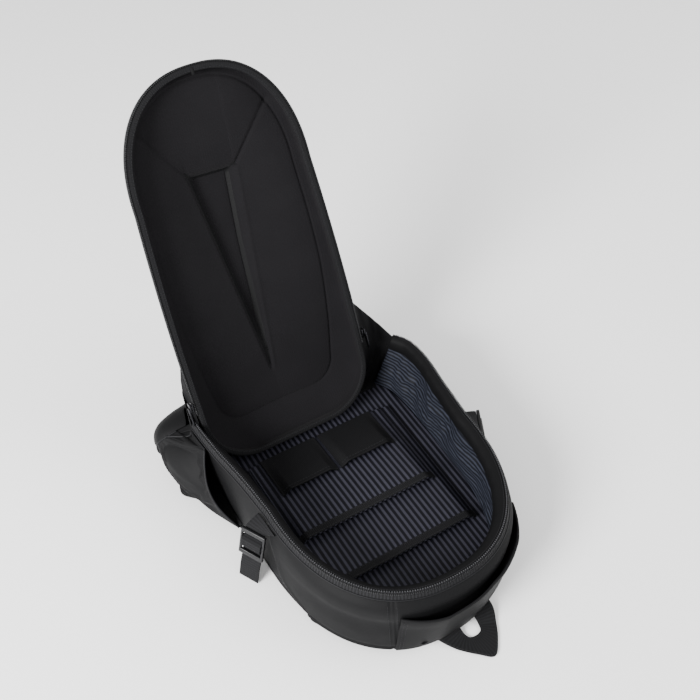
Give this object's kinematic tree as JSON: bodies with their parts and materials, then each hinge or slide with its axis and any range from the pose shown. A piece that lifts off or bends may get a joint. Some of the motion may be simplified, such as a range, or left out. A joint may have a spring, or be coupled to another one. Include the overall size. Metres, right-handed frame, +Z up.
{
  "type": "hard shell backpack",
  "caption": "Backpack lying on its back with its moulded front lid open, striped lining with slip pockets, carry band, side straps and shoulder straps.",
  "frame": {"origin": "on the surface under the middle of the bag's box, as it lies on its back with the lid open", "axes": "+Z up from the surface; +Y from the bag's top end towards its bottom end, where the lid is hinged; +X across the bag, to the right seen from the top end"},
  "size_m": [0.3528, 0.5638, 0.4321],
  "materials": {
    "coated_fabric": "matte polyurethane-coated polyester",
    "mesh_padding": "air mesh over foam",
    "striped_lining": "thin woven polyester with grey stripes",
    "webbing": "woven black webbing and binding",
    "zip_tape": "woven zip tape with coil teeth",
    "shell_lining": "near-black knit laminated on moulded foam",
    "buckle_plastic": "satin moulded acetal",
    "slider_metal": "black-plated zinc"
  },
  "bodies": {
    "root": {"body_wall": "coated_fabric", "base_cover": "coated_fabric", "handle_band": "coated_fabric", "side_pocket_left": "coated_fabric", "side_pocket_right": "coated_fabric", "back_panel": "mesh_padding", "shoulder_strap_left": "mesh_padding", "shoulder_strap_right": "mesh_padding", "lining_floor": "striped_lining", "lining_wall": "striped_lining", "laptop_sleeve": "striped_lining", "tablet_pocket": "striped_lining", "laptop_sleeve_hem": "webbing", "tablet_pocket_hem": "webbing", "phone_pocket": "webbing", "notebook_pocket": "webbing", "haul_loop": "webbing", "compression_strap_left": "webbing", "compression_strap_right": "webbing", "lower_webbing_left": "webbing", "lower_webbing_right": "webbing", "gusset_left": "webbing", "gusset_right": "webbing", "hinge_strip": "webbing", "lid_binding": "webbing", "body_zip_tape": "zip_tape", "lid_zip_tape": "zip_tape", "lid_shell": "shell_lining", "ladder_buckle_left": "buckle_plastic", "ladder_buckle_right": "buckle_plastic", "zip_slider_left": "slider_metal", "zip_slider_right": "slider_metal", "zip_pull_left": "slider_metal", "zip_pull_right": "slider_metal"}
  },
  "joints": []
}
